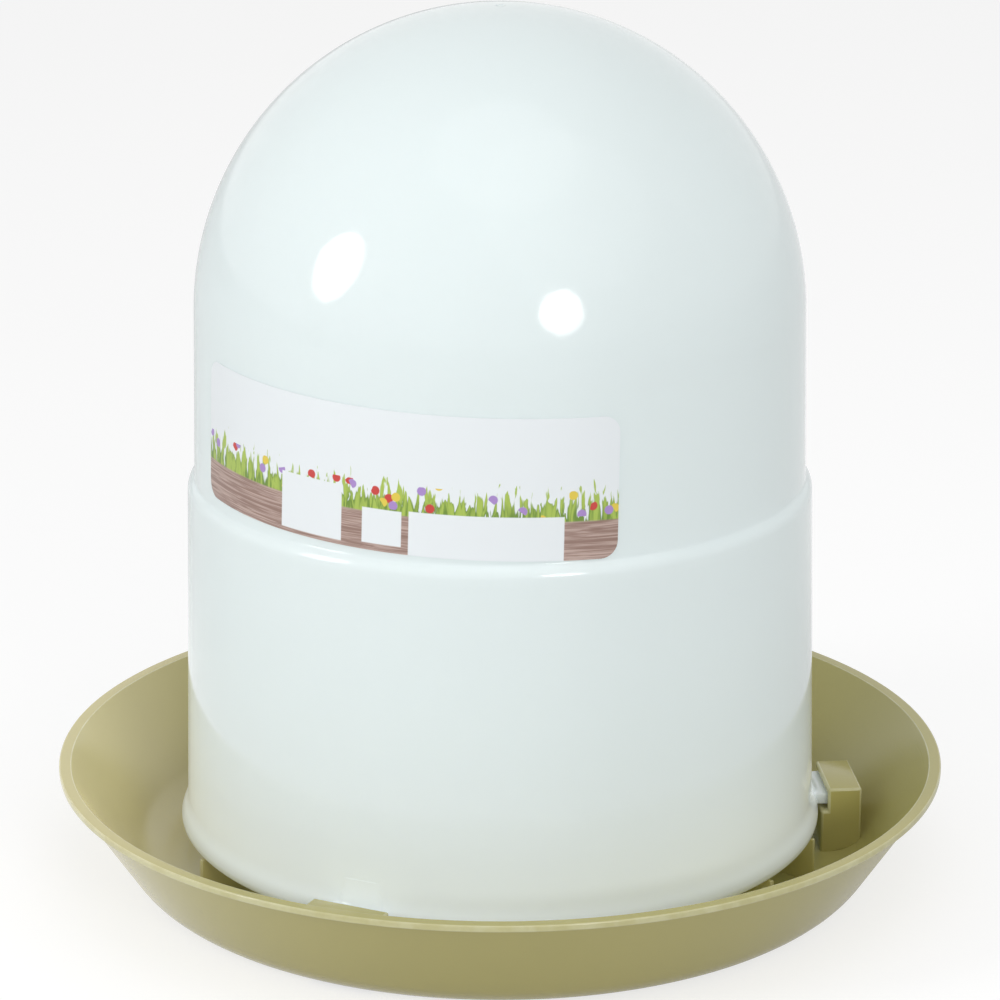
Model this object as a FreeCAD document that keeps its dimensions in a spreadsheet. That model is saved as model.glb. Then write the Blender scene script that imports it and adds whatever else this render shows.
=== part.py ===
import FreeCAD, Part
import os
import Sketcher

# A gravity poultry feeder: a milky domed silo that stands, open end down, on the ribs of a
# round pan and locks under three hooks with a short turn. Millimetres and degrees, +Z up.
# The origin is the centre of the pan's base, and azimuths count from +X towards +Y.

doc = FreeCAD.newDocument("PoultryFeeder")

# ---------------------------------------------------------------- driving dimensions
drivingSizes = {
    # pan
    "rimDiameter": 220.0,        # over the lip
    "panHeight": 29.2,
    "panWall": 2.0,
    "wallSlope": 56.7,           # flared wall, from the horizontal
    "lipThickness": 1.6,
    "lipOverhang": 1.6,          # lip beyond the outer wall
    "lipRound": 0.6,
    "footRound": 13.0,           # outside, between base and flared wall
    "restRing": 4.4,             # flat ring the pan stands on
    "coneHeight": 12.8,          # shallow spreader cone inside the ring
    "coneTipDiameter": 16.0,
    "coneTipRound": 4.0,
    # ribs of the pan, which carry the silo's rim
    "ribPairs": 6.0,             # spread evenly, two of them between two hooks
    "ribPairAngle": 20.6,
    "ribThickness": 1.4,
    "ribBeyondSilo": 0.5,
    "ribInnerRadius": 17.0,
    # hooks of the pan
    "hookCount": 3.0,
    "hookAzimuth": 5.0,
    "hookLength": 19.8,          # along the rim
    "hookDepth": 8.5,            # from the hook's edge outwards
    "hookWall": 2.0,
    "hookSlotHeight": 4.0,
    "hookRound": 0.5,
    "ledgeDepth": 1.7,           # ledge in front of the hook's edge
    "ledgeGap": 0.4,             # silo's rim to the ledge's face
    # silo
    "feedGap": 10.8,             # pan's floor to the silo's rim
    "siloWall": 1.5,
    "barrelDiameter": 156.5,     # just above the bead
    "barrelDraft": 1.9,          # radius lost from the bead up to the step
    "beadOverhang": 1.65,
    "beadHeight": 1.8,
    "beadRound": 1.3,
    "beadShoulderRound": 1.0,
    "flareRise": 3.2,            # from the bead in to the barrel
    "flareRound": 6.0,
    "stepHeight": 87.8,          # silo's rim to the step
    "stepIn": 1.65,
    "stepRise": 1.8,
    "stepOuterRound": 4.0,
    "stepInnerRound": 1.2,
    "upperDraft": 0.8,           # radius lost from the step up to the dome
    "domeBase": 130.0,           # silo's rim to the foot of the dome
    # bayonet lugs of the silo
    "lugAngle": 11.2,
    "lugThickness": 2.7,
    "lugReach": 4.0,             # under the hook, from its edge outwards
    "lugGussetRise": 7.0,
    "lugPlay": 0.3,              # to the hook's roof and its stop
    "overrun": 1.0,              # how far a cut runs past what it cuts
    # label
    "labelAngle": 87.3,
    "labelAzimuth": -112.5,
    "labelAboveStep": 1.7,
    "labelBelowDome": 5.3,
    "labelThickness": 0.3,
    "labelGap": 0.05,            # glue line
    "labelRound": 4.0,
}

sheet = doc.addObject("Spreadsheet::Sheet", "Sizes")
for row, (alias, size) in enumerate(drivingSizes.items(), start=1):
    sheet.set(f"A{row}", alias)
    sheet.set(f"B{row}", str(size))
    sheet.setAlias(f"B{row}", alias)
doc.recompute()

# ---------------------------------------------------------------- shared expressions
rimRadius = "Sizes.rimDiameter / 2"
wallTopRadius = f"({rimRadius} - Sizes.lipOverhang)"
wallRun = "((Sizes.panHeight - Sizes.lipThickness) / tan(Sizes.wallSlope * 1 deg))"
footRadius = f"({wallTopRadius} - {wallRun})"              # sharp corner under the wall
wallAcross = "(Sizes.panWall / sin(Sizes.wallSlope * 1 deg))"
lipRun = "(Sizes.lipThickness / tan(Sizes.wallSlope * 1 deg))"
floorRun = "(Sizes.panWall / tan(Sizes.wallSlope * 1 deg))"
footTangent = "(Sizes.footRound * tan(Sizes.wallSlope * 0.5 deg))"
coneRadius = f"({footRadius} - {footTangent} - Sizes.restRing)"
coneTipRadius = "(Sizes.coneTipDiameter / 2)"
siloBottom = "(Sizes.panWall + Sizes.feedGap)"
barrelRadius = "(Sizes.barrelDiameter / 2)"
beadRadius = f"({barrelRadius} + Sizes.beadOverhang)"
ledgeRadius = f"({beadRadius} + Sizes.ledgeGap)"
hookRadius = f"({ledgeRadius} + Sizes.ledgeDepth)"
hookOuterRadius = f"({hookRadius} + Sizes.hookDepth)"
slotTop = f"({siloBottom} + Sizes.hookSlotHeight)"
hookTop = f"({slotTop} + Sizes.hookWall)"
lugTop = f"({slotTop} - Sizes.lugPlay)"
lugRadius = f"({hookRadius} + Sizes.lugReach)"
stopSide = "(Sizes.hookLength / 2 - Sizes.hookWall)"       # stop wall's inner face, off the middle
lugFront = f"asin(({stopSide} - Sizes.lugPlay) / {lugRadius}) / 1 deg"
stepFoot = f"({siloBottom} + Sizes.stepHeight)"
stepTop = f"({stepFoot} + Sizes.stepRise)"
stepRadius = f"({barrelRadius} - Sizes.barrelDraft)"
upperRadius = f"({stepRadius} - Sizes.stepIn)"
domeRadius = f"({upperRadius} - Sizes.upperDraft)"
domeFoot = f"({siloBottom} + Sizes.domeBase)"


def originPart(body, role):
    return next(part for part in body.Origin.OriginFeatures if part.Role == role)


def newBody(label):
    body = doc.addObject("PartDesign::Body", label)
    body.Label = label
    return body


def newSketch(body, name, plane, height=None, azimuth=None):
    # A sketch on one of the body's own planes, raised to a height or turned about Z.
    sketch = body.newObject("Sketcher::SketchObject", name)
    sketch.AttachmentSupport = [(originPart(body, plane), "")]
    sketch.MapMode = "FlatFace"
    if azimuth:
        # the sketch's own axis that lies along the body's Z
        vertical = FreeCAD.Vector(0, 0, 1) if plane == "XY_Plane" else FreeCAD.Vector(0, 1, 0)
        sketch.AttachmentOffset = FreeCAD.Placement(
            FreeCAD.Vector(), FreeCAD.Rotation(vertical, 1))
        sketch.setExpression("AttachmentOffset.Rotation.Angle", azimuth)
    if height:
        sketch.setExpression("AttachmentOffset.Base.z", height)
    return sketch


def drive(sketch, kind, name, expression, *places):
    # One dimension of the sketch, bound to the sheet.
    constraint = Sketcher.Constraint(kind, *places, sketch.evalExpression(expression))
    sketch.renameConstraint(sketch.addConstraint(constraint), name)
    sketch.setExpression(f"Constraints.{name}", expression)


def outline(sketch, corners, rounds=None, domes=None):
    # A closed outline. corners: (x, y) expressions in order; rounds: corner -> radius;
    # domes: side -> height of the centre of an arc about the axis, whose end on the
    # axis keeps its height free.
    rounds = rounds or {}
    domes = domes or {}
    count = len(corners)
    points = [FreeCAD.Vector(*[sketch.evalExpression(text) for text in corner], 0)
              for corner in corners]
    for side in range(count):
        start, end = points[side], points[(side + 1) % count]
        if side in domes:
            centre = FreeCAD.Vector(0, sketch.evalExpression(domes[side]), 0)
            radius = max(start.x, end.x)
            middle = centre + FreeCAD.Vector(radius, radius, 0) * 0.5 ** 0.5
            sketch.addGeometry(Part.Arc(start, middle, end))
        else:
            sketch.addGeometry(Part.LineSegment(start, end))
    # an arc always runs anticlockwise, so the one that leaves the axis starts at its far end
    heads = dict.fromkeys(range(count), 1)
    tails = dict.fromkeys(range(count), 2)
    freeHeights = set()
    for side in domes:
        leavesAxis = points[side].x < points[(side + 1) % count].x
        if leavesAxis:
            heads[side], tails[side] = 2, 1
        freeHeights.add(side if leavesAxis else side + 1)
    for side in range(count):
        other = (side + 1) % count
        sketch.addConstraint(
            Sketcher.Constraint("Coincident", side, tails[side], other, heads[other]))
    for side, centre in domes.items():
        drive(sketch, "DistanceX", f"centreX{side}", "0", -1, 1, side, 3)
        drive(sketch, "DistanceY", f"centreY{side}", centre, -1, 1, side, 3)
    for corner, (x, y) in enumerate(corners):
        place = (-1, 1, corner, heads[corner])
        drive(sketch, "DistanceX", f"x{corner}", x, *place)
        if corner not in freeHeights:
            drive(sketch, "DistanceY", f"y{corner}", y, *place)
    for corner, radius in rounds.items():
        before = (corner - 1) % count
        sketch.fillet(before, tails[before], sketch.evalExpression(radius), True, True)
        arc = max(index for index, piece in enumerate(sketch.Geometry)
                  if isinstance(piece, Part.ArcOfCircle))
        drive(sketch, "Radius", f"round{corner}", radius, arc)


def revolve(body, kind, name, sketch, angle=None):
    # A full or part turn about the body's Z axis; kind is Revolution or Groove.
    feature = body.newObject(f"PartDesign::{kind}", name)
    feature.Profile = sketch
    feature.ReferenceAxis = (originPart(body, "Z_Axis"), [""])
    feature.Angle = 360
    if angle:
        feature.setExpression("Angle", angle)
    return feature


def extrude(body, kind, name, sketch, length, midplane=False):
    # A straight Pad or Pocket. Pockets cut upwards, into the solid above their sketch.
    feature = body.newObject(f"PartDesign::{kind}", name)
    feature.Profile = sketch
    feature.Midplane = midplane
    feature.Reversed = kind == "Pocket"
    feature.setExpression("Length", length)
    return feature


def around(body, name, features, count):
    # Copies spread evenly about Z.
    pattern = body.newObject("PartDesign::PolarPattern", name)
    pattern.Originals = features
    pattern.Axis = (originPart(body, "Z_Axis"), [""])
    pattern.Angle = 360
    pattern.setExpression("Occurrences", count)
    body.Tip = pattern
    return pattern


def rectangle(left, right, low, high):
    return [(left, low), (right, low), (right, high), (left, high)]


def buildPan():
    # One moulding: base, flared wall and lip, spreader cone, ribs and hooks.
    body = newBody("feed_pan")
    underside = [
        ("0", "Sizes.coneHeight"),
        (coneTipRadius, "Sizes.coneHeight"),
        (coneRadius, "0"),
        (footRadius, "0"),
        (wallTopRadius, "Sizes.panHeight - Sizes.lipThickness"),
    ]
    undersideRounds = {1: "Sizes.coneTipRound", 3: "Sizes.footRound"}
    section = newSketch(body, "PanSection", "XZ_Plane")
    outline(section, underside + [
        (rimRadius, "Sizes.panHeight - Sizes.lipThickness"),
        (rimRadius, "Sizes.panHeight"),
        (f"{wallTopRadius} + {lipRun} - {wallAcross}", "Sizes.panHeight"),
        (f"{footRadius} + {floorRun} - {wallAcross}", "Sizes.panWall"),
        (coneRadius, "Sizes.panWall"),
        (coneTipRadius, "Sizes.coneHeight + Sizes.panWall"),
        ("0", "Sizes.coneHeight + Sizes.panWall"),
    ], rounds=undersideRounds | {
        5: "Sizes.lipRound",
        6: "Sizes.lipRound",
        7: "Sizes.lipRound",
        8: "Sizes.footRound - Sizes.panWall",
        10: "Sizes.coneTipRound + Sizes.panWall",
    })
    revolve(body, "Revolution", "PanShell", section)

    pairMiddle = "(Sizes.hookAzimuth + 180 / Sizes.ribPairs)"
    pair = []
    for name, side in (("First", "-"), ("Second", "+")):
        rib = newSketch(body, f"{name}RibSide", "XZ_Plane",
                        azimuth=f"{pairMiddle} {side} Sizes.ribPairAngle / 2")
        outline(rib, rectangle("Sizes.ribInnerRadius", f"{beadRadius} + Sizes.ribBeyondSilo",
                               "Sizes.panWall / 2", siloBottom))
        pair.append(extrude(body, "Pad", f"{name}Rib", rib, "Sizes.ribThickness",
                            midplane=True))
    around(body, "Ribs", pair, "Sizes.ribPairs")

    # hook towers, from the base up
    side = "Sizes.hookLength / 2"
    tower = newSketch(body, "TowerPlan", "XY_Plane", azimuth="Sizes.hookAzimuth")
    outline(tower, rectangle(ledgeRadius, hookOuterRadius, f"-{side}", side),
            rounds={1: "Sizes.hookRound", 2: "Sizes.hookRound"})
    towerPad = extrude(body, "Pad", "Tower", tower, hookTop)
    setback = newSketch(body, "SetbackPlan", "XY_Plane", siloBottom, "Sizes.hookAzimuth")
    outline(setback, rectangle(f"{ledgeRadius} - Sizes.overrun", hookRadius,
                               f"-{side} - Sizes.overrun", f"{side} + Sizes.overrun"))
    setbackCut = extrude(body, "Pocket", "Setback", setback,
                         "Sizes.hookSlotHeight + Sizes.hookWall + Sizes.overrun")
    slot = newSketch(body, "SlotPlan", "XY_Plane", siloBottom, "Sizes.hookAzimuth")
    outline(slot, rectangle(f"{hookRadius} - Sizes.overrun", f"{hookOuterRadius} - Sizes.hookWall",
                            f"-{stopSide}", f"{side} + Sizes.overrun"))
    slotCut = extrude(body, "Pocket", "LugSlot", slot, "Sizes.hookSlotHeight")
    around(body, "Hooks", [towerPad, setbackCut, slotCut], "Sizes.hookCount")

    # whatever of the ribs and towers would pass through the pan's underside is turned off
    below = newSketch(body, "BelowPan", "XZ_Plane")
    outline(below, underside + [
        (f"{rimRadius} + Sizes.overrun", "Sizes.panHeight - Sizes.lipThickness"),
        (f"{rimRadius} + Sizes.overrun", "-Sizes.overrun"),
        ("0", "-Sizes.overrun"),
    ], rounds=undersideRounds)
    revolve(body, "Groove", "TrimUnderside", below)

    core = newSketch(body, "CorePlan", "XY_Plane", azimuth="Sizes.hookAzimuth")
    outline(core, rectangle(f"{ledgeRadius} + Sizes.hookWall",
                            f"{hookOuterRadius} - Sizes.hookWall",
                            f"-{stopSide}", stopSide))
    coreCut = extrude(body, "Pocket", "TowerCore", core,
                      f"{siloBottom} - Sizes.hookWall")
    around(body, "TowerCores", [coreCut], "Sizes.hookCount")
    return body


def buildSilo():
    # One blow-moulded shell with the bead at its rim, the step, the dome and the lugs.
    body = newBody("silo")
    section = newSketch(body, "SiloSection", "XZ_Plane")
    wall = "Sizes.siloWall"
    barrelFoot = f"({siloBottom} + Sizes.beadHeight + Sizes.flareRise)"
    # inside the step, the corners lie lower, so that the slope keeps the wall's thickness
    tuck = f"{wall} * tan(atan(Sizes.stepIn / Sizes.stepRise) / 2)"
    outline(section, [
        (beadRadius, siloBottom),
        (beadRadius, f"{siloBottom} + Sizes.beadHeight"),
        (barrelRadius, barrelFoot),
        (stepRadius, stepFoot),
        (upperRadius, stepTop),
        (domeRadius, domeFoot),
        ("0", f"{domeFoot} + {domeRadius}"),
        ("0", f"{domeFoot} + {domeRadius} - {wall}"),
        (f"{domeRadius} - {wall}", domeFoot),
        (f"{upperRadius} - {wall}", f"{stepTop} - {tuck}"),
        (f"{stepRadius} - {wall}", f"{stepFoot} - {tuck}"),
        (f"{barrelRadius} - {wall}", siloBottom),
    ], rounds={
        0: "Sizes.beadRound",
        1: "Sizes.beadShoulderRound",
        2: "Sizes.flareRound",
        3: "Sizes.stepOuterRound",
        4: "Sizes.stepInnerRound",
        9: f"Sizes.stepInnerRound + {wall}",
        10: f"Sizes.stepOuterRound - {wall}",
    }, domes={5: domeFoot, 7: domeFoot})
    revolve(body, "Revolution", "SiloShell", section)

    lug = newSketch(body, "LugSection", "XZ_Plane",
                    azimuth=f"Sizes.hookAzimuth - {lugFront}")
    root = f"({barrelRadius} - {wall} / 2)"
    lugBottom = f"({lugTop} - Sizes.lugThickness)"
    outline(lug, [
        (root, lugBottom),
        (lugRadius, lugBottom),
        (lugRadius, lugTop),
        (f"{hookRadius} - Sizes.lugPlay * 2", lugTop),
        (f"{barrelRadius} + Sizes.lugPlay", f"{lugTop} + Sizes.lugGussetRise"),
        (root, f"{lugTop} + Sizes.lugGussetRise"),
    ], rounds={1: "Sizes.hookRound", 2: "Sizes.hookRound"})
    firstLug = revolve(body, "Revolution", "Lug", lug, angle="Sizes.lugAngle")
    around(body, "Lugs", [firstLug], "Sizes.hookCount")
    return body


def buildLabel():
    # A thin sticker that follows the silo's upper barrel.
    body = newBody("label")
    low = f"({stepTop} + Sizes.labelAboveStep)"
    high = f"({domeFoot} - Sizes.labelBelowDome)"
    slope = f"(Sizes.upperDraft / ({domeFoot} - {stepTop}))"
    lowRadius, highRadius = [
        f"({upperRadius} - {slope} * ({height} - {stepTop}) + Sizes.labelGap)"
        for height in (low, high)]
    section = newSketch(body, "LabelSection", "XZ_Plane",
                        azimuth="Sizes.labelAzimuth - Sizes.labelAngle / 2")
    outline(section, [
        (lowRadius, low),
        (f"{lowRadius} + Sizes.labelThickness", low),
        (f"{highRadius} + Sizes.labelThickness", high),
        (highRadius, high),
    ])
    sheetOfLabel = revolve(body, "Revolution", "LabelSheet", section, angle="Sizes.labelAngle")
    doc.recompute()
    thickness = drivingSizes["labelThickness"]
    cornerEdges = [f"Edge{number}" for number, edge in enumerate(sheetOfLabel.Shape.Edges, 1)
                   if edge.Length < 2 * thickness]
    corners = body.newObject("PartDesign::Fillet", "LabelCorners")
    corners.Base = (sheetOfLabel, cornerEdges)
    corners.setExpression("Radius", "Sizes.labelRound")
    body.Tip = corners
    return body


bodies = [buildPan(), buildSilo(), buildLabel()]
doc.recompute()

for item in doc.Objects:
    if "Invalid" in item.State or "Error" in item.State:
        raise SystemExit(f"{item.Name} failed to build: {item.State}")
for body in bodies:
    if body.Shape.isNull() or not body.Shape.isValid() or len(body.Shape.Solids) != 1:
        raise SystemExit(f"{body.Label} is not one valid solid")

os.makedirs("parts", exist_ok=True)
for body in bodies:
    body.Shape.exportStep(os.path.join("parts", f"{body.Label}.step"))
    box = body.Shape.BoundBox
    print(f"{body.Label}: {body.Shape.Volume / 1000:.1f} cm3, "
          f"{box.XLength:.1f} x {box.YLength:.1f} x {box.ZLength:.1f} mm, from z {box.ZMin:.2f}")
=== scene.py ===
import math
import bpy
import bmesh
from mathutils import Matrix, Vector


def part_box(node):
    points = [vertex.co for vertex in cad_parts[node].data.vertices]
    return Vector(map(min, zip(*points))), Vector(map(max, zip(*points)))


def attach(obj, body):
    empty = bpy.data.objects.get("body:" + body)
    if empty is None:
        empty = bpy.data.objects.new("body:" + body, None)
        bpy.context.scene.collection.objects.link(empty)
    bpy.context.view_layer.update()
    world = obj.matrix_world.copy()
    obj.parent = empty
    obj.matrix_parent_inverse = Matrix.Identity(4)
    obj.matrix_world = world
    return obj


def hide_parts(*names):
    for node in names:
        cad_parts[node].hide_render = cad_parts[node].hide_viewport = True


# A gravity poultry feeder: a milky silo with a bare label, on an olive pan with three hooks.
# +Z up, the pan's base on the floor. The pieces' shapes are given in mm and degrees; the
# finishes, the floor, the lamps and the camera are in metres.
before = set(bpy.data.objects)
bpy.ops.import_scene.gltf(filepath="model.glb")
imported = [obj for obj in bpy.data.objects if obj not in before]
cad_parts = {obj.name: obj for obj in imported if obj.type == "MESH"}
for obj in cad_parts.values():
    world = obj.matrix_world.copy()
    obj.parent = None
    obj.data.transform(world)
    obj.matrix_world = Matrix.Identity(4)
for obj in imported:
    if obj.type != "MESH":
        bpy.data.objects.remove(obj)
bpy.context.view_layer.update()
panLow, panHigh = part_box("feed_pan")
siloLow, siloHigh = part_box("silo")
labelLow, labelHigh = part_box("label")
mm = 0.001
firstHook = math.radians(5)
hookCount = 3
print("frame loaded")


def roundedPath(corners, arcStep=math.radians(7)):
    # (x, y, radius) corners in mm -> points in metres with each corner's arc
    points = []
    for i, (x, y, radius) in enumerate(corners):
        here = Vector((x, y))
        if radius <= 0 or i in (0, len(corners) - 1):
            points.append(here)
            continue
        before = (Vector(corners[i - 1][:2]) - here).normalized()
        after = (Vector(corners[i + 1][:2]) - here).normalized()
        half = before.angle(after) / 2
        reach = radius / math.tan(half)
        centre = here + (before + after).normalized() * (radius / math.sin(half))
        start, end = here + before * reach - centre, here + after * reach - centre
        turn = start.angle_signed(end)
        count = max(3, math.ceil(abs(turn) / arcStep))
        for k in range(count + 1):
            points.append(centre + Matrix.Rotation(-turn * k / count, 2) @ start)
    return [point * mm for point in points]


def spaced(points, longest):
    # the same line with no stretch longer than longest
    result = [points[0]]
    for a, b in zip(points, points[1:]):
        count = max(1, math.ceil((b - a).length / longest))
        result += [a.lerp(b, k / count) for k in range(1, count + 1)]
    return result


def newObject(name, bm):
    bmesh.ops.recalc_face_normals(bm, faces=bm.faces)
    mesh = bpy.data.meshes.new(name)
    bm.to_mesh(mesh)
    bm.free()
    piece = bpy.data.objects.new(name, mesh)
    bpy.context.scene.collection.objects.link(piece)
    return piece


def softShade(piece, angle):
    piece.data.shade_smooth()
    piece.data.set_sharp_from_angle(angle=math.radians(angle))


edgeMarks = {"width": 0.7, "above": 5.0, "beyond": 60.0}     # mm


def markEdges(piece):
    # narrow faces on rounded edges, which get a painted highlight: only those higher than above
    # and farther from the axis than beyond
    s = edgeMarks
    mesh = piece.data
    shares = []
    for face in mesh.polygons:
        girth = sum((mesh.vertices[a].co - mesh.vertices[b].co).length for a, b in face.edge_keys)
        narrow = face.area < girth * s["width"] / 2 * mm
        placed = face.center.z > s["above"] * mm and face.center.xy.length > s["beyond"] * mm
        shares.append(1.0 if narrow and placed else 0.0)
    mesh.attributes.new("edgeHighlightShare", "FLOAT", "FACE").data.foreach_set("value", shares)


def applyModifiers(piece):
    shaped = bpy.data.meshes.new_from_object(
        piece.evaluated_get(bpy.context.evaluated_depsgraph_get()))
    piece.modifiers.clear()
    piece.data = shaped
    shaped.name = piece.name


def latheMesh(line, steps):
    # an outline in (radius, height) turned about Z and closed on itself; a point on the axis
    # stays single, and a stretch along the axis makes no face
    bm = bmesh.new()
    rings = []
    for r, z in line:
        count = 1 if r < 1e-7 else steps
        rings.append([bm.verts.new((r * math.cos(2 * math.pi * k / steps),
                                    r * math.sin(2 * math.pi * k / steps), z))
                      for k in range(count)])
    for a, b in zip(rings, rings[1:] + rings[:1]):
        if len(a) == len(b) == 1:
            continue
        for k in range(steps):
            n = (k + 1) % steps
            corners = [a[k % len(a)], a[n % len(a)], b[n % len(b)], b[k % len(b)]]
            bm.faces.new(list(dict.fromkeys(corners)))
    return bm


def prism(bm, outline, low, high):
    # a flat outline in (x, z) carried along y from low to high
    near = [bm.verts.new((x, low, z)) for x, z in outline]
    far = [bm.verts.new((x, high, z)) for x, z in outline]
    faces = [bm.faces.new(near), bm.faces.new(far[::-1])]
    for k in range(len(outline)):
        n = (k + 1) % len(outline)
        faces.append(bm.faces.new([near[k], far[k], far[n], near[n]]))
    return faces


def boolean(piece, other, operation):
    cut = piece.modifiers.new("cut", "BOOLEAN")
    cut.object, cut.operation, cut.solver = other, operation, "EXACT"
    applyModifiers(piece)
    bpy.data.objects.remove(other)


def turned(bm, angle):
    bmesh.ops.rotate(bm, verts=bm.verts, cent=(0, 0, 0), matrix=Matrix.Rotation(angle, 3, "Z"))


# the pan: one turned shell with its ribs, hooks and the hollows under them, all in mm

panShape = {
    "wall": 2.0, "slope": 56.7, "lip": 1.6, "lipRound": 0.35, "footRound": 13.0,
    "restRing": 4.4, "coneHeight": 12.8, "coneTip": 8.0, "coneRound": 6.0,
    "turns": 256, "longest": 3.2,
}
ribShape = {
    "pairs": 6, "pairAngle": 20.6, "thickness": 1.4, "end": 80.4, "round": 0.35,
    "foot": 1.0,                     # inside the pan's floor, so that the two join
    "intoCone": 2.0, "coneEnd": 1.6,
}
hookShape = {
    "ledge": 80.3, "edge": 82.0, "outer": 90.5, "length": 19.8, "wall": 2.0,
    "slot": 4.0, "round": 0.6,
    "foot": 1.0, "outerFoot": 3.3,   # inside the pan's floor and its wall's curve
}
floorGap = siloLow.z / mm        # the ribs' top, where the silo's rim rests
rimRadius, panHeight = panHigh.x / mm, panHigh.z / mm


def panLine():
    s = panShape
    slope = math.radians(s["slope"])
    wallTop = rimRadius - s["lip"]
    foot = wallTop - (panHeight - s["lip"]) / math.tan(slope)
    across = s["wall"] / math.sin(slope)
    cone = foot - s["footRound"] * math.tan(slope / 2) - s["restRing"]
    return [
        (0, s["coneHeight"], 0),
        (s["coneTip"], s["coneHeight"], 4),
        (cone, 0, 0.5),
        (foot, 0, s["footRound"]),
        (wallTop, panHeight - s["lip"], 0.5),
        (rimRadius, panHeight - s["lip"], s["lipRound"]),
        (rimRadius, panHeight, s["lipRound"]),
        (wallTop + s["lip"] / math.tan(slope) - across, panHeight, s["lipRound"]),
        (foot + s["wall"] / math.tan(slope) - across, s["wall"], s["footRound"] - s["wall"]),
        (cone, s["wall"], s["coneRound"]),
        (s["coneTip"], s["coneHeight"] + s["wall"], s["coneRound"]),
        (0, s["coneHeight"] + s["wall"], 0),
    ]


def bevelled(piece, width, segments=3):
    bevel = piece.modifiers.new("edges", "BEVEL")
    bevel.width, bevel.segments = width * mm, segments
    bevel.limit_method, bevel.angle_limit = "ANGLE", math.radians(40)
    applyModifiers(piece)
    return piece


def oneRib(angle):
    s = ribShape
    cone = panLine()[2][0]
    fall = panShape["coneHeight"] / (cone - panShape["coneTip"])
    inner = cone - (floorGap - panShape["wall"]) / fall      # where the cone's skin meets it
    start = inner - s["intoCone"]
    outline = [(start, floorGap - s["coneEnd"]), (cone, s["foot"]), (s["end"], s["foot"]),
               (s["end"], floorGap), (start, floorGap)]
    bm = bmesh.new()
    prism(bm, [(x * mm, z * mm) for x, z in outline],
          -s["thickness"] / 2 * mm, s["thickness"] / 2 * mm)
    turned(bm, angle)
    return bevelled(newObject("rib", bm), s["round"], 2)


def oneHook(angle):
    s = hookShape
    side, top = s["length"] / 2, floorGap + s["slot"] + s["wall"]
    tower = bmesh.new()
    prism(tower, [(x * mm, z * mm) for x, z in
                  [(s["ledge"], s["foot"]), (s["outer"], s["outerFoot"]), (s["outer"], top),
                   (s["ledge"], top)]],
          -side * mm, side * mm)
    tower = newObject("hook", tower)
    roof, back = floorGap + s["slot"], s["outer"] - s["wall"]
    # cut back to the ledge over the rim, then the slot, which is open at one end; both cuts
    # run 1 mm past the tower
    for outline, low, high in (
            ([(s["ledge"] - 1, floorGap), (s["edge"], floorGap), (s["edge"], top + 1),
              (s["ledge"] - 1, top + 1)], -side - 1, side + 1),
            ([(s["edge"] - 1, floorGap), (back, floorGap), (back, roof),
              (s["edge"] - 1, roof)], s["wall"] - side, side + 1)):
        cutter = bmesh.new()
        prism(cutter, [(x * mm, z * mm) for x, z in outline], low * mm, high * mm)
        boolean(tower, newObject("cutter", cutter), "DIFFERENCE")
    bevelled(tower, s["round"])
    tower.data.transform(Matrix.Rotation(angle, 4, "Z"))
    return tower


def oneCore(angle):
    # the hollow under a hook, open at the pan's underside
    s = hookShape
    half = (s["length"] / 2 - s["wall"]) * mm
    inner, outer, roof = s["ledge"] + s["wall"], s["outer"] - s["wall"], floorGap - s["wall"]
    bm = bmesh.new()
    prism(bm, [(x * mm, z * mm) for x, z in
               [(inner, -1), (outer, -1), (outer, roof), (inner, roof)]], -half, half)
    turned(bm, angle)
    return newObject("core", bm)


def joined(pieces, name):
    bm = bmesh.new()
    for piece in pieces:
        bm.from_mesh(piece.data)
        bpy.data.objects.remove(piece)
    mesh = bpy.data.meshes.new(name)
    bm.to_mesh(mesh)
    bm.free()
    whole = bpy.data.objects.new(name, mesh)
    bpy.context.scene.collection.objects.link(whole)
    return whole


def buildPan():
    pan = newObject("feed_tray", latheMesh(
        spaced(roundedPath(panLine()), panShape["longest"] * mm), panShape["turns"]))
    hooks = [firstHook + 2 * math.pi * k / hookCount for k in range(hookCount)]
    pairs, half = ribShape["pairs"], math.radians(ribShape["pairAngle"]) / 2
    ribs = [firstHook + math.pi * (2 * k + 1) / pairs + side * half
            for k in range(pairs) for side in (-1, 1)]
    features = joined([oneHook(a) for a in hooks] + [oneRib(a) for a in ribs], "features")
    boolean(pan, features, "UNION")
    boolean(pan, joined([oneCore(a) for a in hooks], "cores"), "DIFFERENCE")
    softShade(pan, 32)
    markEdges(pan)
    return pan


pan = buildPan()
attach(pan, "pan")
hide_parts("feed_pan")
print("feed pan built:", len(pan.data.polygons), "faces")


# the silo: a turned shell with three lugs under the hooks, in mm
siloShape = {
    "wall": 1.5, "barrel": 78.25, "bead": 79.9, "beadHeight": 1.8, "flareRise": 4.0,
    "beadFoot": 1.3, "beadShoulder": 1.4, "flareRound": 9.0,
    "stepRadius": 76.35, "stepFoot": 100.6, "stepTop": 102.4,
    "stepFootRound": 4.0, "stepTopRound": 1.2,
    "upper": 74.7, "dome": 73.9, "domeFoot": 142.8,
    "gateRadius": 1.2, "gateDepth": 0.15, "nubRadius": 0.5, "nubDrop": 0.03,
    "ribClearance": 0.03,        # under the rim, so that the turning faces never share a plane
    "turns": 288, "domeSteps": 72, "longest": 2.2,
}


def siloRadiusAt(z):
    # the upper barrel's outside in metres, which the label follows
    s = siloShape
    share = (z / mm - s["stepTop"]) / (s["domeFoot"] - s["stepTop"])
    return (s["upper"] + (s["dome"] - s["upper"]) * share) * mm


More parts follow.
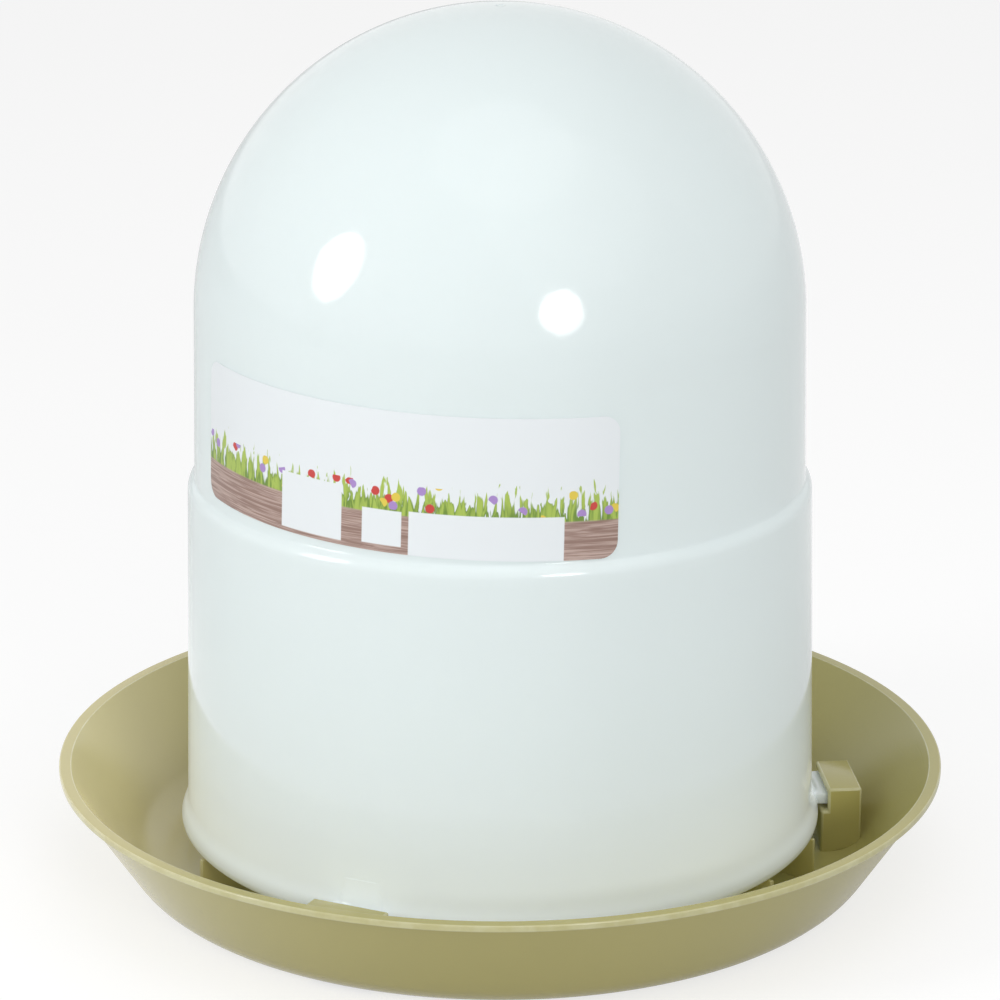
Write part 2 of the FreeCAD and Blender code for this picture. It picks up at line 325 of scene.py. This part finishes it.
def domeLine(radius):
    # a quarter of the half ball, from its foot up to the axis, in metres
    s = siloShape
    top = siloHigh.z - (s["dome"] - radius) * mm
    foot = s["domeFoot"] * mm
    return [Vector((radius * mm * math.cos(a) if a < math.pi / 2 else 0,
                    foot + (top - foot) * math.sin(a)))
            for a in [math.pi / 2 * k / s["domeSteps"] for k in range(1, s["domeSteps"] + 1)]]


def siloOutside():
    s = siloShape
    rim = siloLow.z / mm + s["ribClearance"]
    lower = spaced(roundedPath([
        (s["barrel"] - s["wall"], rim, 0),
        (s["bead"], rim, s["beadFoot"]),
        (s["bead"], rim + s["beadHeight"], s["beadShoulder"]),
        (s["barrel"], rim + s["beadHeight"] + s["flareRise"], s["flareRound"]),
        (s["stepRadius"], s["stepFoot"], s["stepFootRound"]),
        (s["upper"], s["stepTop"], s["stepTopRound"]),
        (s["dome"], s["domeFoot"], 0),
    ]), s["longest"] * mm)
    # a small gate mark with its nub is sunk in the top
    dome = [p for p in domeLine(s["dome"]) if p.x > (s["gateRadius"] + 0.1) * mm]
    top = siloHigh.z / mm
    gate = roundedPath([
        (s["gateRadius"], top - 0.02, 0),
        (s["gateRadius"] - 0.2, top - s["gateDepth"], 0.05),
        (s["nubRadius"] + 0.1, top - s["gateDepth"], 0.05),
        (s["nubRadius"], top - s["nubDrop"], 0.05),
        (0, top - s["nubDrop"], 0),
    ])
    gate[-1].x = 0
    return lower + dome + gate


def siloInside():
    # the outside's line moved in by the wall, from the dome's top down
    s = siloShape
    rim, wall = siloLow.z / mm + s["ribClearance"], s["wall"]
    tuck = wall * math.tan(math.atan((s["stepRadius"] - s["upper"])
                                     / (s["stepTop"] - s["stepFoot"])) / 2)
    lower = roundedPath([
        (s["dome"] - wall, s["domeFoot"], 0),
        (s["upper"] - wall, s["stepTop"] - tuck, s["stepTopRound"] + wall),
        (s["stepRadius"] - wall, s["stepFoot"] - tuck, s["stepFootRound"] - wall),
        (s["barrel"] - wall, rim, 0),
    ])
    return domeLine(s["dome"] - wall)[::-1] + spaced(lower, 4 * mm)[:-1]


lugShape = {
    "angle": 11.2, "reach": 86.0, "thickness": 2.7, "clearance": 0.3, "round": 0.45,
    "rise": 7.0, "webFoot": 1.1, "webStart": 0.8, "webEnds": 4.0, "webSteps": 8, "sink": 1.2,
    "sections": 40,
}


def oneLug(bm, hook):
    # a wedge of the ring under the hook's roof, with a hollowed web up the wall; its ends are
    # eased, and there the web sinks into the wall
    s, h = lugShape, hookShape
    barrel = siloShape["barrel"]
    top = floorGap + h["slot"] - s["clearance"]
    root = barrel - siloShape["wall"] / 2
    front = math.asin((h["length"] / 2 - h["wall"] - s["clearance"]) / s["reach"])
    shares = [k / s["webSteps"] for k in range(s["webSteps"] + 1)]
    line = [p / mm for p in roundedPath([
        (root, top - s["thickness"], 0),
        (s["reach"], top - s["thickness"], s["round"]),
        (s["reach"], top, s["round"]),
        (barrel + s["webFoot"] + s["webStart"], top, 1.2),
    ] + [(barrel - 0.05 + s["webFoot"] * (1 - share) ** 2,
          top + s["webStart"] + (s["rise"] - s["webStart"]) * share, 0) for share in shares] + [
        (root, top + s["rise"], 0),
    ])]
    middle = Vector((root, top - s["thickness"] / 2))
    span = math.radians(s["angle"])
    rings = []
    for k in range(s["sections"] + 1):
        # sections crowd towards both ends, where the rounding is
        share = 0.5 - 0.5 * math.cos(math.pi * k / s["sections"])
        fromEnd = min(share, 1 - share) * span * s["reach"]
        ease = max(0, 1 - fromEnd / s["round"])
        shrink = s["round"] * (1 - math.sqrt(1 - ease ** 2))
        webShare = min(1, fromEnd / s["webEnds"])
        webShare = webShare * webShare * (3 - 2 * webShare)
        angle = hook - front + share * span
        ring = []
        for p in line:
            away = p - middle
            q = p - away.normalized() * min(shrink, away.length)
            if p.y > top + 0.05:
                q.x -= (1 - webShare) * s["sink"]
            q.x = max(q.x, root)
            ring.append(bm.verts.new((q.x * math.cos(angle) * mm, q.x * math.sin(angle) * mm,
                                      q.y * mm)))
        rings.append(ring)
    for a, b in zip(rings, rings[1:]):
        for k in range(len(a)):
            n = (k + 1) % len(a)
            bm.faces.new([a[k], a[n], b[n], b[k]])
    bm.faces.new(rings[0])
    bm.faces.new(rings[-1][::-1])


def buildSilo():
    silo = newObject("silo_shell", latheMesh(siloOutside() + siloInside(), siloShape["turns"]))
    bm = bmesh.new()
    for k in range(hookCount):
        oneLug(bm, firstHook + 2 * math.pi * k / hookCount)
    boolean(silo, newObject("lugs", bm), "UNION")
    softShade(silo, 40)
    return silo


silo = buildSilo()
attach(silo, "silo")
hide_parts("silo")
print("silo built:", len(silo.data.polygons), "faces")


# the label: a thin film wrapped on the silo's upper barrel, in mm and degrees
labelShape = {
    "width": 113.4, "height": 33.4, "round": 4.0, "tilt": 1.35, "heading": -112.5,
    "film": 0.16, "glueLine": 0.05,
    "cornerSteps": 8, "halfColumns": 48, "halfRows": 16,
}


def buildLabel():
    s = labelShape
    halfWidth, halfHeight, corner = s["width"] / 2, s["height"] / 2, s["round"]
    middle = (labelLow.z + labelHigh.z) / 2 / mm
    heading, tilt = math.radians(s["heading"]), math.radians(s["tilt"])
    steps, count, half = s["cornerSteps"], s["halfColumns"], s["halfRows"]
    straight = halfWidth - corner
    # columns crowd towards the round corners
    columns = sorted({round(side * x, 6) for side in (-1, 1) for x in
                      [halfWidth - corner * (1 - math.sin(math.pi / 2 * k / steps))
                       for k in range(steps + 1)]
                      + [straight * k / count for k in range(count + 1)]})
    rows = [k / half for k in range(-half, half + 1)]
    bm = bmesh.new()
    uvLayer = bm.loops.layers.uv.new("labelMap")
    places = {}

    def place(u, w, lift):
        # a point of the flat film, tilted and wrapped on the barrel, lifted off it
        along = u * math.cos(tilt) + w * math.sin(tilt)
        z = (middle - u * math.sin(tilt) + w * math.cos(tilt)) * mm
        r = siloRadiusAt(z) + (s["glueLine"] + lift) * mm
        turn = heading + along * mm / siloRadiusAt(middle * mm)
        return bm.verts.new((r * math.cos(turn), r * math.sin(turn), z))

    front, back = [], []
    for u in columns:
        past = max(0, abs(u) - straight)
        reach = halfHeight - corner + math.sqrt(max(0, corner ** 2 - past ** 2))
        for layer, lift in ((front, s["film"]), (back, 0)):
            made = [place(u, row * reach, lift) for row in rows]
            for vert, row in zip(made, rows):
                places[vert] = (u / s["width"] + 0.5, row * reach / s["height"] + 0.5)
            layer.append(made)
    last, top = len(columns) - 1, len(rows) - 1
    for c in range(last):
        for k in range(top):
            bm.faces.new([front[c][k], front[c + 1][k], front[c + 1][k + 1], front[c][k + 1]])
            bm.faces.new([back[c][k], back[c][k + 1], back[c + 1][k + 1], back[c + 1][k]])
        for k in (0, top):
            bm.faces.new([front[c][k], back[c][k], back[c + 1][k], front[c + 1][k]])
    for c in (0, last):
        for k in range(top):
            bm.faces.new([front[c][k], front[c][k + 1], back[c][k + 1], back[c][k]])
    for face in bm.faces:
        for loop in face.loops:
            loop[uvLayer].uv = places[loop.vert]
    label = newObject("label_film", bm)
    softShade(label, 40)
    return label


label = buildLabel()
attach(label, "silo")
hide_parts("label")
print("label built")


def newGroup(name, inputs, outputs):
    # a node group of plain values, with its ends
    group = bpy.data.node_groups.new(name, "ShaderNodeTree")
    for label, value in inputs:
        socket = group.interface.new_socket(label, in_out="INPUT", socket_type="NodeSocketFloat")
        socket.default_value = value
    for label in outputs:
        group.interface.new_socket(label, in_out="OUTPUT", socket_type="NodeSocketFloat")
    return group, group.nodes.new("NodeGroupInput"), group.nodes.new("NodeGroupOutput")


def put(tree, kind, links=(), **values):
    # a node with its properties set and sockets linked or filled
    node = tree.nodes.new(kind)
    for key, value in values.items():
        setattr(node, key, value)
    for socket, source in links:
        if hasattr(source, "links"):
            tree.links.new(source, node.inputs[socket])
        else:
            node.inputs[socket].default_value = source
    return node


def ramp(tree, source, low, high, outLow=0.0, outHigh=1.0):
    # an eased step from outLow to outHigh as the source goes from low to high
    links = [(0, source), (1, low), (2, high), (3, outLow), (4, outHigh)]
    return put(tree, "ShaderNodeMapRange", links, interpolation_type="SMOOTHSTEP").outputs[0]


def maths(tree, operation, a, b=0.0):
    return put(tree, "ShaderNodeMath", [(0, a), (1, b)], operation=operation).outputs[0]


def times(tree, a, b):
    return maths(tree, "MULTIPLY", a, b)


def objectPlace(tree):
    return put(tree, "ShaderNodeTexCoord").outputs["Object"]


def stretched(tree, place, scale, shift=(0.0, 0.0, 0.0)):
    return put(tree, "ShaderNodeMapping", [(0, place), (1, shift), (3, scale)]).outputs[0]


def noise(tree, place, scale, detail, distortion=0.0):
    return put(tree, "ShaderNodeTexNoise", [("Vector", place), ("Scale", scale),
                                            ("Detail", detail),
                                            ("Distortion", distortion)]).outputs["Fac"]


skinNoise = {
    "flowStretch": (1, 1, 0.4), "flowDetail": 3.0, "flowDistortion": 0.4, "flow": (0.3, 0.7),
    "grainDetail": 2.0,
    # scuffs run round the piece, and only in patches
    "scuffStretch": (1, 1, 30), "scuffScale": 26.0, "scuffDetail": 4.0, "scuffDistortion": 0.2,
    "scuff": (0.60, 0.70), "patchScale": 21.0, "patchDetail": 1.0, "patch": (0.5, 0.66),
    "scuffGloss": 0.5,
}


def makeMouldedSkin():
    # slow flow in the tone, a fine orange peel, and the scuffs of handling
    s = skinNoise
    tree, inside, out = newGroup(
        "mouldedSkin",
        [("Flow Size", 12), ("Flow Amount", 0.03), ("Grain Size", 900), ("Scuffs", 0.3)],
        ["Tone", "Gloss Loss", "Relief"])
    flowSize, flowAmount, grainSize, scuffs = list(inside.outputs)[:4]
    place = objectPlace(tree)
    flow = noise(tree, stretched(tree, place, s["flowStretch"]), flowSize,
                 s["flowDetail"], s["flowDistortion"])
    spread = times(tree, maths(tree, "SUBTRACT", flow, 0.5), flowAmount)
    tree.links.new(maths(tree, "ADD", spread, 1.0), out.inputs["Tone"])
    grain = noise(tree, place, grainSize, s["grainDetail"])
    lines = noise(tree, stretched(tree, place, s["scuffStretch"]), s["scuffScale"],
                  s["scuffDetail"], s["scuffDistortion"])
    patches = noise(tree, place, s["patchScale"], s["patchDetail"])
    scuff = times(tree, ramp(tree, lines, *s["scuff"]), ramp(tree, patches, *s["patch"]))
    scuff = times(tree, scuff, scuffs)
    tree.links.new(maths(tree, "ADD", times(tree, scuff, s["scuffGloss"]),
                         ramp(tree, flow, *s["flow"])), out.inputs["Gloss Loss"])
    tree.links.new(maths(tree, "SUBTRACT", grain, scuff), out.inputs["Relief"])
    return tree


edgeNoise = {"scale": 160.0, "detail": 3.0, "breakupRange": (0.35, 0.65)}


def makePaintedEdgeHighlight():
    # the marked edges, broken up a little, for a paler colour that paints a highlight on them
    s = edgeNoise
    tree, inside, out = newGroup("paintedEdgeHighlight", [("Pale", 0.5), ("Wear", 0.3)], ["Edge"])
    pale, breakup = list(inside.outputs)[:2]
    marked = put(tree, "ShaderNodeAttribute", attribute_name="edgeHighlightShare").outputs["Fac"]
    broken = noise(tree, objectPlace(tree), s["scale"], s["detail"])
    share = maths(tree, "SUBTRACT", 1.0, times(tree, ramp(tree, broken, *s["breakupRange"]), breakup))
    tree.links.new(times(tree, times(tree, marked, pale), share), out.inputs["Edge"])
    return tree


def makeGradedPlace():
    # how far up and how far out the surface is, each from 0 to 1 between two limits in metres
    tree, inside, out = newGroup("gradedPlace", [("Low", 0.0), ("High", 1.0), ("Inner", 0.0),
                                                 ("Outer", 1.0)], ["Upward", "Outward"])
    low, high, inner, outer = list(inside.outputs)[:4]
    axes = put(tree, "ShaderNodeSeparateXYZ", [(0, objectPlace(tree))]).outputs
    tree.links.new(ramp(tree, axes["Z"], low, high), out.inputs["Upward"])
    flat = put(tree, "ShaderNodeCombineXYZ", [(0, axes["X"]), (1, axes["Y"])]).outputs[0]
    radius = put(tree, "ShaderNodeVectorMath", [(0, flat)], operation="LENGTH").outputs["Value"]
    tree.links.new(ramp(tree, radius, inner, outer), out.inputs["Outward"])
    return tree


mouldedSkin, paintedEdgeHighlight, gradedPlace = makeMouldedSkin(), makePaintedEdgeHighlight(), makeGradedPlace()


def placeGroup(tree, group, **values):
    # an underline in a value's name stands for a space
    node = put(tree, "ShaderNodeGroup", node_tree=group)
    for label, value in values.items():
        node.inputs[label.replace("_", " ")].default_value = value
    return node.outputs


def blendColour(tree, share, low, high):
    low, high = [c if hasattr(c, "links") else (*c, 1) for c in (low, high)]
    return put(tree, "ShaderNodeMix", [(0, share), (6, low), (7, high)],
               data_type="RGBA").outputs[2]


def newMaterial(name):
    material = bpy.data.materials.new(name)
    material.use_nodes = True
    tree = material.node_tree
    return material, tree, tree.nodes["Principled BSDF"]


def finish(tree, shader, colour, skin, rough, bump):
    # tone, gloss and relief from the moulded skin, on the given colour
    toned = put(tree, "ShaderNodeVectorMath", [(0, colour), ("Scale", skin["Tone"])],
                operation="SCALE").outputs[0]
    tree.links.new(toned, shader.inputs["Base Color"])
    tree.links.new(ramp(tree, skin["Gloss Loss"], 0.0, 1.2, *rough), shader.inputs["Roughness"])
    strength, depth = bump
    relief = put(tree, "ShaderNodeBump", [("Strength", strength), ("Distance", depth),
                                          ("Height", skin["Relief"])])
    tree.links.new(relief.outputs[0], shader.inputs["Normal"])


panFinish = {
    "colour": (0.445, 0.398, 0.133), "rough": (0.17, 0.27), "bump": (0.25, 0.00008),
    "specular": 0.5,
    # painted highlight: a paler colour on the marked edges, broken up and fading out near the
    # floor
    "edgeHighlightColour": (0.66, 0.645, 0.41), "edgeHighlightShare": 0.75, "edgeWear": 0.4,
    "edgeFrom": 0.003, "edgeTo": 0.018,
    # painted glow: emission on the lit (left) side, most on the faces turned up, stands in for
    # light that comes through the thin wall
    "through": (0.15, 0.13, 0.10), "throughFrom": -0.055, "throughTo": -0.105,
    "throughBelow": 0.2, "turnedUp": (-0.4, 0.4),
}


def makePanMaterial():
    material, tree, shader = newMaterial("olivePlastic")
    s = panFinish
    skin = placeGroup(tree, mouldedSkin, Flow_Size=14, Flow_Amount=0.12, Grain_Size=1100,
                      Scuffs=0.5)
    edge = placeGroup(tree, paintedEdgeHighlight, Pale=s["edgeHighlightShare"], Wear=s["edgeWear"])["Edge"]
    upward = placeGroup(tree, gradedPlace, Low=s["edgeFrom"], High=s["edgeTo"])["Upward"]
    # painted highlight: the marked edges take the paler colour, fading out near the floor
    colour = blendColour(tree, times(tree, edge, upward), s["colour"], s["edgeHighlightColour"])
    finish(tree, shader, colour, skin, s["rough"], s["bump"])
    # painted glow on the pan's left side, as emission, stronger on the faces turned up
    place = put(tree, "ShaderNodeTexCoord").outputs
    side = put(tree, "ShaderNodeSeparateXYZ", [(0, place["Object"])]).outputs["X"]
    facing = put(tree, "ShaderNodeSeparateXYZ", [(0, place["Normal"])]).outputs["Z"]
    through = times(tree, ramp(tree, side, s["throughTo"], s["throughFrom"], 1.0, 0.0),
                    ramp(tree, facing, *s["turnedUp"], s["throughBelow"], 1.0))
    lit = blendColour(tree, through, (0.0, 0.0, 0.0), s["through"])
    tree.links.new(lit, shader.inputs["Emission Color"])
    shader.inputs["Emission Strength"].default_value = 1.0
    shader.inputs["Specular IOR Level"].default_value = s["specular"]
    return material


siloFinish = {
    "colour": (0.77, 0.855, 0.855), "rough": (0.06, 0.12), "bump": (0.12, 0.00005),
    "specular": 0.3, "ior": 1.5,
    # painted light: a lighter, bluer colour low down, near the pan
    "paintedLowLight": (0.785, 0.86, 0.89), "lowFrom": 0.012, "lowTo": 0.07,
    # painted shade: the lugs get a darker colour and a dimmer glow
    "paintedLugShade": (0.70, 0.755, 0.755), "lugFrom": 0.0787, "lugTo": 0.0803,
    # light caught inside the shell: a short scatter, and a painted glow that is stronger low down
    "scatter": 0.35, "scatterRadius": (1.0, 1.0, 0.95), "scatterReach": 0.003,
    "glow": 0.13, "glowColour": (0.40, 0.45, 0.45), "lugGlow": (0.3, 0.3, 0.31),
    "lowGlow": (0.97, 0.98, 1.0), "lowGlowFrom": 0.010, "lowGlowTo": 0.055,
}


def makeSiloMaterial():
    material, tree, shader = newMaterial("milkyPlastic")
    s = siloFinish
    skin = placeGroup(tree, mouldedSkin, Flow_Size=9, Flow_Amount=0.035, Grain_Size=700,
                      Scuffs=0.15)

    def graded(low, high, paintedLowLight, highColour, paintedLugShade):
        # painted light low down and painted shade on the lugs, blended into the colour
        where = placeGroup(tree, gradedPlace, Low=low, High=high, Inner=s["lugFrom"],
                           Outer=s["lugTo"])
        colour = blendColour(tree, where["Upward"], paintedLowLight, highColour)
        return blendColour(tree, where["Outward"], colour, paintedLugShade)

    colour = graded(s["lowFrom"], s["lowTo"], s["paintedLowLight"], s["colour"], s["paintedLugShade"])
    finish(tree, shader, colour, skin, s["rough"], s["bump"])
    shader.inputs["IOR"].default_value = s["ior"]
    shader.inputs["Specular IOR Level"].default_value = s["specular"]
    shader.inputs["Subsurface Weight"].default_value = s["scatter"]
    shader.inputs["Subsurface Radius"].default_value = s["scatterRadius"]
    shader.inputs["Subsurface Scale"].default_value = s["scatterReach"]
    # painted glow over the whole shell, as emission, stronger low down
    paintedGlowColour = graded(s["lowGlowFrom"], s["lowGlowTo"], s["lowGlow"], s["glowColour"], s["lugGlow"])
    tree.links.new(paintedGlowColour, shader.inputs["Emission Color"])
    shader.inputs["Emission Strength"].default_value = s["glow"]
    return material


labelFinish = {
    "film": (0.86, 0.905, 0.93), "rough": (0.29, 0.33), "bump": (0.05, 0.00003),
    # boards along the foot, up to a share of the height, with a dark joint between two
    "plank": (0.56, 0.42, 0.37), "plankDark": (0.30, 0.19, 0.155), "plankTop": 0.27,
    "plankStretch": (3.0, 26.0, 1.0), "plankShades": (0.35, 0.68),
    "joint": 0.13, "jointWidth": (0.006, 0.013),
    # blades of grass over them: narrow columns of noise, each with its own height
    "grass": (0.42, 0.56, 0.10), "grassDark": (0.16, 0.28, 0.04), "grassTop": 0.50,
    "bladeStretch": (95.0, 5.0, 1.0), "bladeShades": (0.40, 0.62), "bladeCut": (0.60, 0.66),
    "bladeRise": 0.34,
    # a few small round petals of each colour, within a band
    "petals": ((0.62, 0.06, 0.05), (0.42, 0.27, 0.62), (0.80, 0.62, 0.08)),
    "petalStretch": (34.0, 10.0, 1.0), "petalShift": (13.7, 5.3), "petalSize": (0.36, 0.28),
    "petalShare": 0.16, "petalBand": 0.40, "petalBandHalf": 0.09,
    # bare panels by left, right, bottom and top, and how soft their sides are
    "blanks": ((0.276, 0.428, 0.03, 0.43), (0.475, 0.56, 0.05, 0.30), (0.575, 0.888, -0.1, 0.31)),
    "blankSoft": (0.001, 0.004),
}


def makeLabelMaterial():
    material, tree, shader = newMaterial("labelFilm")
    s = labelFinish
    skin = placeGroup(tree, mouldedSkin, Flow_Size=8, Flow_Amount=0.0, Grain_Size=1300,
                      Scuffs=0.05)
    flat = put(tree, "ShaderNodeUVMap", uv_map="labelMap").outputs[0]
    along, up = put(tree, "ShaderNodeSeparateXYZ", [(0, flat)]).outputs[:2]

    def fromHeight(height):
        return maths(tree, "ABSOLUTE", maths(tree, "SUBTRACT", up, height))

    grain = noise(tree, stretched(tree, flat, s["plankStretch"]), 3.0, 5.0, 1.0)
    board = blendColour(tree, ramp(tree, grain, *s["plankShades"]), s["plankDark"], s["plank"])
    joint = ramp(tree, fromHeight(s["joint"]), *s["jointWidth"])
    board = blendColour(tree, joint, s["plankDark"], board)

    blades = noise(tree, stretched(tree, flat, s["bladeStretch"]), 1.0, 2.0, 0.7)
    tall = times(tree, maths(tree, "SUBTRACT", s["grassTop"], up),
                 1 / (s["grassTop"] - s["plankTop"]))
    isBlade = ramp(tree, maths(tree, "ADD", times(tree, tall, s["bladeRise"]), blades),
                   *s["bladeCut"])
    blade = blendColour(tree, ramp(tree, blades, *s["bladeShades"]), s["grassDark"], s["grass"])
    colour = blendColour(tree, isBlade, s["film"], blade)

    shiftAlong, shiftUp = s["petalShift"]
    for k, petal in enumerate(s["petals"]):
        spots = stretched(tree, flat, s["petalStretch"], (shiftAlong * k, shiftUp * k, 0.0))
        cells = put(tree, "ShaderNodeTexVoronoi", [("Vector", spots), ("Scale", 1.0)],
                    voronoi_dimensions="2D").outputs
        few = put(tree, "ShaderNodeSeparateColor", [(0, cells["Color"])]).outputs[0]
        dot = times(tree, ramp(tree, cells["Distance"], *s["petalSize"]),
                    maths(tree, "LESS_THAN", few, s["petalShare"]))
        band = maths(tree, "LESS_THAN", fromHeight(s["petalBand"]), s["petalBandHalf"])
        colour = blendColour(tree, times(tree, dot, band), colour, petal)

    isBoard = ramp(tree, up, s["plankTop"] + 0.012, s["plankTop"] - 0.004)
    colour = blendColour(tree, isBoard, colour, board)

    def between(place, low, high, soft):
        return times(tree, ramp(tree, place, low - soft, low + soft),
                     ramp(tree, place, high + soft, high - soft))

    softAlong, softUp = s["blankSoft"]
    for left, right, bottom, top in s["blanks"]:
        panel = times(tree, between(along, left, right, softAlong),
                      between(up, bottom, top, softUp))
        colour = blendColour(tree, panel, colour, s["film"])
    finish(tree, shader, colour, skin, s["rough"], s["bump"])
    return material


for piece, material in ((pan, makePanMaterial()), (silo, makeSiloMaterial()),
                        (label, makeLabelMaterial())):
    piece.data.materials.clear()
    piece.data.materials.append(material)
print("materials made")


# a pale floor with painted shade on its right side, so that its left side throws back more light
# than its right
floorFinish = {
    "size": 30.0, "drop": 0.00005, "rough": 0.9,
    "left": 0.80, "right": 0.46, "reach": 0.28,
    "seenTone": 0.36, "seenGlow": 0.71,
    # how much of the bright floor gloss picks up, beside the pan and farther off
    "glossReach": 0.15, "glossNear": (1.0, 0.6), "glossFar": (0.3, 0.85),
    "nearTo": 0.16, "farFrom": 0.32,
}
skyGlow = {"seen": 1.0, "lighting": 0.465}


def seenRays(tree, glossShare=1.0):
    # 1 for rays from the camera and through clear surfaces, and glossShare for those off gloss
    rays = put(tree, "ShaderNodeLightPath").outputs
    seen = maths(tree, "MAXIMUM", rays["Is Camera Ray"], rays["Is Transmission Ray"])
    return maths(tree, "MAXIMUM", seen, times(tree, rays["Is Glossy Ray"], glossShare))


def blendShaders(tree, share, low, high, output):
    blend = put(tree, "ShaderNodeMixShader", [(0, share), (1, low), (2, high)]).outputs[0]
    tree.links.new(blend, tree.nodes[output].inputs["Surface"])


def buildFloor():
    s = floorFinish
    bm = bmesh.new()
    bmesh.ops.create_grid(bm, x_segments=8, y_segments=8, size=s["size"] / 2)
    floor = newObject("floor", bm)
    floor.location.z = panLow.z - s["drop"]
    material, tree, shader = newMaterial("paleFloor")
    side = put(tree, "ShaderNodeSeparateXYZ", [(0, objectPlace(tree))]).outputs["X"]
    # painted shade: the floor's tone falls from left to right
    tone = ramp(tree, side, -s["reach"], s["reach"], s["left"], s["right"])
    tree.links.new(tone, shader.inputs["Base Color"])
    shader.inputs["Roughness"].default_value = s["rough"]
    near = ramp(tree, side, -s["glossReach"], s["glossReach"], *s["glossNear"])
    far = ramp(tree, side, -s["glossReach"], s["glossReach"], *s["glossFar"])
    outward = placeGroup(tree, gradedPlace, Inner=s["nearTo"], Outer=s["farFrom"])["Outward"]
    glossShare = maths(tree, "ADD", near, times(tree, outward, maths(tree, "SUBTRACT", far, near)))
    matt = put(tree, "ShaderNodeBsdfDiffuse", [("Color", (*[s["seenTone"]] * 3, 1))]).outputs[0]
    glow = put(tree, "ShaderNodeEmission", [("Strength", s["seenGlow"])]).outputs[0]
    both = put(tree, "ShaderNodeAddShader", [(0, matt), (1, glow)]).outputs[0]
    blendShaders(tree, seenRays(tree, glossShare), shader.outputs[0], both, "Material Output")
    floor.data.materials.append(material)


def buildSky():
    # white where it is seen, and dimmer and even where it only lights
    world = bpy.data.worlds.new("studio")
    world.use_nodes = True
    tree = world.node_tree
    dome = tree.nodes["Background"]
    dome.inputs["Color"].default_value = (1, 1, 1, 1)
    dome.inputs["Strength"].default_value = skyGlow["lighting"]
    backdrop = put(tree, "ShaderNodeBackground", [("Color", (1, 1, 1, 1)),
                                                  ("Strength", skyGlow["seen"])]).outputs[0]
    blendShaders(tree, seenRays(tree), dome.outputs[0], backdrop, "World Output")
    bpy.context.scene.world = world


buildFloor()
buildSky()

# lamps by heading from the front, rise, the angles each one fills and its roll, in degrees,
# and its glow
lamps = {
    "leftBox": (-65.5, 20, 17.5, 24, -24, 8.5),
    "leftFill": (-80, 32, 75, 60, 0, 0.1),
    "highFill": (35, 48, 60, 60, 0, 0.4),
    "topFill": (5, 72, 45, 45, 0, 0.75),
    "frontDish": (22.2, 12.8, 16, 16, 0, 11.8),
}
lampTarget = Vector((0, 0, 0.13))
lampDistance = 1.3


def addLamp(name, heading, rise, width, height, roll, glow):
    heading, rise, roll = math.radians(heading), math.radians(rise), math.radians(roll)
    data = bpy.data.lights.new(name, "AREA")
    data.shape = "ELLIPSE"
    data.size = 2 * lampDistance * math.tan(math.radians(width / 2))
    data.size_y = 2 * lampDistance * math.tan(math.radians(height / 2))
    area = math.pi / 4 * data.size * data.size_y
    data.energy = glow * math.pi * area
    lamp = bpy.data.objects.new(name, data)
    away = Vector((math.sin(heading) * math.cos(rise), -math.cos(heading) * math.cos(rise),
                   math.sin(rise)))
    lamp.location = lampTarget + away * lampDistance
    facing = away.to_track_quat("Z", "Y").to_matrix()
    lamp.rotation_euler = (facing @ Matrix.Rotation(roll, 3, "Z")).to_euler()
    lamp.visible_camera = False
    bpy.context.scene.collection.objects.link(lamp)


for name, values in lamps.items():
    addLamp(name, *values)

cameraSetup = {
    "place": (0, -0.8901, 0.3769), "aim": (0, 0, 0.0942), "lens": 136.8, "sensor": 36,
    "near": 0.05, "far": 100,
}


def addCamera():
    s = cameraSetup
    data = bpy.data.cameras.new("camera")
    data.lens, data.sensor_width = s["lens"], s["sensor"]
    data.clip_start, data.clip_end = s["near"], s["far"]
    camera = bpy.data.objects.new("camera", data)
    camera.location = s["place"]
    sight = Vector(s["aim"]) - camera.location
    camera.rotation_euler = sight.to_track_quat("-Z", "Y").to_euler()
    bpy.context.scene.collection.objects.link(camera)
    bpy.context.scene.camera = camera


addCamera()
bpy.context.scene.view_settings.view_transform = "Standard"
print("studio ready")
